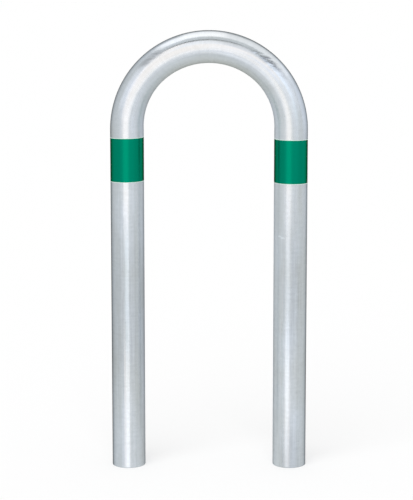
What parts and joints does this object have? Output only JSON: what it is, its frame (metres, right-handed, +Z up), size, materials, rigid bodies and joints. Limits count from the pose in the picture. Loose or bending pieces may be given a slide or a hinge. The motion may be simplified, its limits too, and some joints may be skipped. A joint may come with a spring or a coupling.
{
  "type": "impact protection hoop",
  "caption": "Galvanised steel tube bent to an upside-down U for setting in the ground as a vehicle barrier, with a green reflective band round each leg.",
  "frame": {"origin": "midway between the two legs, on the plane of their open lower ends", "axes": "+X along the hoop's width towards the right leg, +Y through the hoop from the front to the back where the film laps lie, +Z up along the legs to the crown"},
  "size_m": [0.4464, 0.0765, 0.9999],
  "materials": {
    "galvanised_steel": "hot-dip galvanised, fresh zinc, satin with soft streaks along the tube",
    "green_reflective_film": "retroreflective film, smooth and slightly glossy"
  },
  "bodies": {
    "root": {"hoop_tube": "galvanised_steel", "left_reflective_band": "green_reflective_film", "right_reflective_band": "green_reflective_film"}
  },
  "joints": []
}
